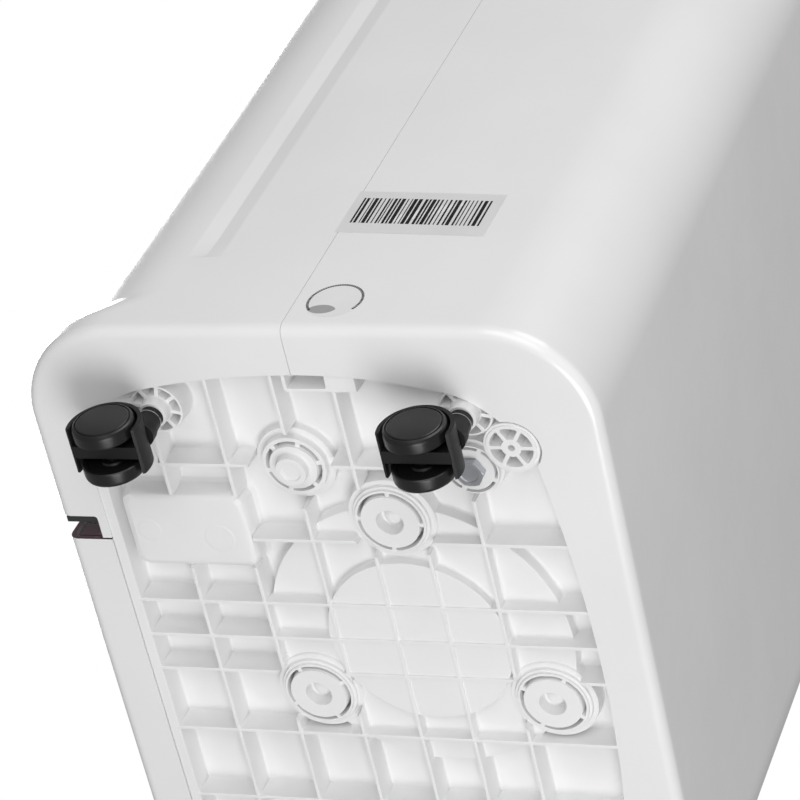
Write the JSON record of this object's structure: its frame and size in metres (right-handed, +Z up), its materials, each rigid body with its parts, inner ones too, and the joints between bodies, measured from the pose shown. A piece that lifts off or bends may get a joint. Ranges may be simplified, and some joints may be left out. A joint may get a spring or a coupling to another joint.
{
  "type": "portable dehumidifier",
  "caption": "White upright dehumidifier cabinet with ribbed base, swivelling twin-wheel casters, pull-out rear water tank, intake grille with filter, top outlet flap and buttons.",
  "frame": {"origin": "on the floor under the middle of the cabinet, at the bottom centre of the whole object's box", "axes": "+Z up, the smooth front faces -Y, the water tank and intake face +Y, +X is to the right seen from the front"},
  "size_m": [0.37, 0.268, 0.59],
  "materials": {
    "cabinet_white": "glossy moulded white plastic",
    "base_white": "satin moulded white plastic",
    "caster_black": "satin black nylon",
    "tank_smoke": "smoky dark purple translucent plastic",
    "panel_black": "glossy black overlay",
    "button_grey": "satin grey plastic",
    "filter_grey": "fine nylon mesh",
    "steel": "zinc plated steel",
    "chrome": "polished chrome plate",
    "fin_aluminium": "thin aluminium fins",
    "copper": "bare copper tube",
    "compressor_black": "black painted steel can",
    "galvanised": "galvanised sheet",
    "black_rubber": "matt black rubber",
    "board_green": "solder masked board"
  },
  "bodies": {
    "cabinet": {"front_housing": "cabinet_white", "rear_housing": "cabinet_white", "top_cover": "cabinet_white", "base_pan": "base_white", "outlet_grille": "base_white", "drain_spout": "base_white", "drip_tray": "base_white", "fan_scroll": "base_white", "control_panel": "panel_black", "display_lens": "panel_black", "control_board": "board_green", "cord_gland": "black_rubber", "inner_frame": "galvanised", "evaporator": "fin_aluminium", "condenser": "fin_aluminium", "fan_motor": "steel", "compressor": "compressor_black", "base_hex_bolt": "steel", "discharge_pipe": "copper", "suction_pipe": "copper", "tank_switch": "panel_black", "compressor_grommet_1": "black_rubber", "compressor_bolt_1": "steel", "compressor_grommet_2": "black_rubber", "compressor_bolt_2": "steel", "compressor_grommet_3": "black_rubber", "compressor_bolt_3": "steel"},
    "tank": {"water_tank": "tank_smoke", "tank_fascia": "cabinet_white", "tank_lid": "base_white"},
    "bail": {"tank_handle": "caster_black"},
    "float": {"tank_float": "base_white"},
    "grille": {"intake_grille": "cabinet_white", "air_filter": "filter_grey"},
    "flap": {"outlet_flap": "cabinet_white"},
    "fan": {"fan_wheel": "base_white"},
    "cap": {"drain_cap": "black_rubber"},
    "button_power": {"button_power": "button_grey"},
    "button_mode": {"button_mode": "button_grey"},
    "button_speed": {"button_speed": "button_grey"},
    "caster_back_left_swivel": {"caster_back_left_hood": "caster_black", "caster_back_left_stem": "chrome", "caster_back_left_axle": "steel"},
    "caster_back_left_roller_left": {"caster_back_left_wheel_left": "caster_black"},
    "caster_back_left_roller_right": {"caster_back_left_wheel_right": "caster_black"},
    "caster_front_left_swivel": {"caster_front_left_hood": "caster_black", "caster_front_left_stem": "chrome", "caster_front_left_axle": "steel"},
    "caster_front_left_roller_left": {"caster_front_left_wheel_left": "caster_black"},
    "caster_front_left_roller_right": {"caster_front_left_wheel_right": "caster_black"},
    "caster_back_right_swivel": {"caster_back_right_hood": "caster_black", "caster_back_right_stem": "chrome", "caster_back_right_axle": "steel"},
    "caster_back_right_roller_left": {"caster_back_right_wheel_left": "caster_black"},
    "caster_back_right_roller_right": {"caster_back_right_wheel_right": "caster_black"},
    "caster_front_right_swivel": {"caster_front_right_hood": "caster_black", "caster_front_right_stem": "chrome", "caster_front_right_axle": "steel"},
    "caster_front_right_roller_left": {"caster_front_right_wheel_left": "caster_black"},
    "caster_front_right_roller_right": {"caster_front_right_wheel_right": "caster_black"}
  },
  "joints": [
    {"name": "tank_slide", "type": "slide", "parent": "cabinet", "child": "tank", "axis": [0, 1, 0], "range_m": [0, 0.15]},
    {"name": "bail_swing", "type": "hinge", "parent": "tank", "child": "bail", "pos_m": [0.02845, 0.088, 0.3035], "axis": [1, 0, 0], "range_deg": [0, 88]},
    {"name": "float_swing", "type": "hinge", "parent": "tank", "child": "float", "pos_m": [0.095, 0.062, 0.268], "axis": [1, 0, 0], "range_deg": [0, 20]},
    {"name": "grille_tip", "type": "hinge", "parent": "cabinet", "child": "grille", "pos_m": [0, 0.1256, 0.353], "axis": [-1, 0, 0], "range_deg": [0, 40]},
    {"name": "flap_open", "type": "hinge", "parent": "cabinet", "child": "flap", "pos_m": [0, 0.0448, 0.5894], "axis": [-1, 0, 0], "range_deg": [0, 70]},
    {"name": "fan_spin", "type": "hinge", "parent": "cabinet", "child": "fan", "pos_m": [0, 0, 0.446], "axis": [0, 1, 0], "continuous": true},
    {"name": "cap_pull", "type": "slide", "parent": "cabinet", "child": "cap", "axis": [0, 1, 0], "range_m": [0, 0.018]},
    {"name": "power_press", "type": "slide", "parent": "cabinet", "child": "button_power", "axis": [0, 0, -1], "range_m": [0, 0.001], "stiffness_N_per_m": 400, "springref_m": -0.0005},
    {"name": "mode_press", "type": "slide", "parent": "cabinet", "child": "button_mode", "axis": [0, 0, -1], "range_m": [0, 0.001], "stiffness_N_per_m": 400, "springref_m": -0.0005},
    {"name": "speed_press", "type": "slide", "parent": "cabinet", "child": "button_speed", "axis": [0, 0, -1], "range_m": [0, 0.001], "stiffness_N_per_m": 400, "springref_m": -0.0005},
    {"name": "caster_back_left_turn", "type": "hinge", "parent": "cabinet", "child": "caster_back_left_swivel", "pos_m": [-0.142, 0.071, 0.041], "axis": [0, 0, 1], "continuous": true},
    {"name": "caster_back_left_roll_left", "type": "hinge", "parent": "caster_back_left_swivel", "child": "caster_back_left_roller_left", "pos_m": [-0.142, 0.0823, 0.014], "axis": [1, 0, 0], "continuous": true},
    {"name": "caster_back_left_roll_right", "type": "hinge", "parent": "caster_back_left_swivel", "child": "caster_back_left_roller_right", "pos_m": [-0.142, 0.0823, 0.014], "axis": [1, 0, 0], "continuous": true},
    {"name": "caster_front_left_turn", "type": "hinge", "parent": "cabinet", "child": "caster_front_left_swivel", "pos_m": [-0.142, -0.0738, 0.041], "axis": [0, 0, 1], "continuous": true},
    {"name": "caster_front_left_roll_left", "type": "hinge", "parent": "caster_front_left_swivel", "child": "caster_front_left_roller_left", "pos_m": [-0.142, -0.0625, 0.014], "axis": [1, 0, 0], "continuous": true},
    {"name": "caster_front_left_roll_right", "type": "hinge", "parent": "caster_front_left_swivel", "child": "caster_front_left_roller_right", "pos_m": [-0.142, -0.0625, 0.014], "axis": [1, 0, 0], "continuous": true},
    {"name": "caster_back_right_turn", "type": "hinge", "parent": "cabinet", "child": "caster_back_right_swivel", "pos_m": [0.142, 0.071, 0.041], "axis": [0, 0, 1], "continuous": true},
    {"name": "caster_back_right_roll_left", "type": "hinge", "parent": "caster_back_right_swivel", "child": "caster_back_right_roller_left", "pos_m": [0.142, 0.0823, 0.014], "axis": [1, 0, 0], "continuous": true},
    {"name": "caster_back_right_roll_right", "type": "hinge", "parent": "caster_back_right_swivel", "child": "caster_back_right_roller_right", "pos_m": [0.142, 0.0823, 0.014], "axis": [1, 0, 0], "continuous": true},
    {"name": "caster_front_right_turn", "type": "hinge", "parent": "cabinet", "child": "caster_front_right_swivel", "pos_m": [0.142, -0.0738, 0.041], "axis": [0, 0, 1], "continuous": true},
    {"name": "caster_front_right_roll_left", "type": "hinge", "parent": "caster_front_right_swivel", "child": "caster_front_right_roller_left", "pos_m": [0.142, -0.0625, 0.014], "axis": [1, 0, 0], "continuous": true},
    {"name": "caster_front_right_roll_right", "type": "hinge", "parent": "caster_front_right_swivel", "child": "caster_front_right_roller_right", "pos_m": [0.142, -0.0625, 0.014], "axis": [1, 0, 0], "continuous": true}
  ]
}
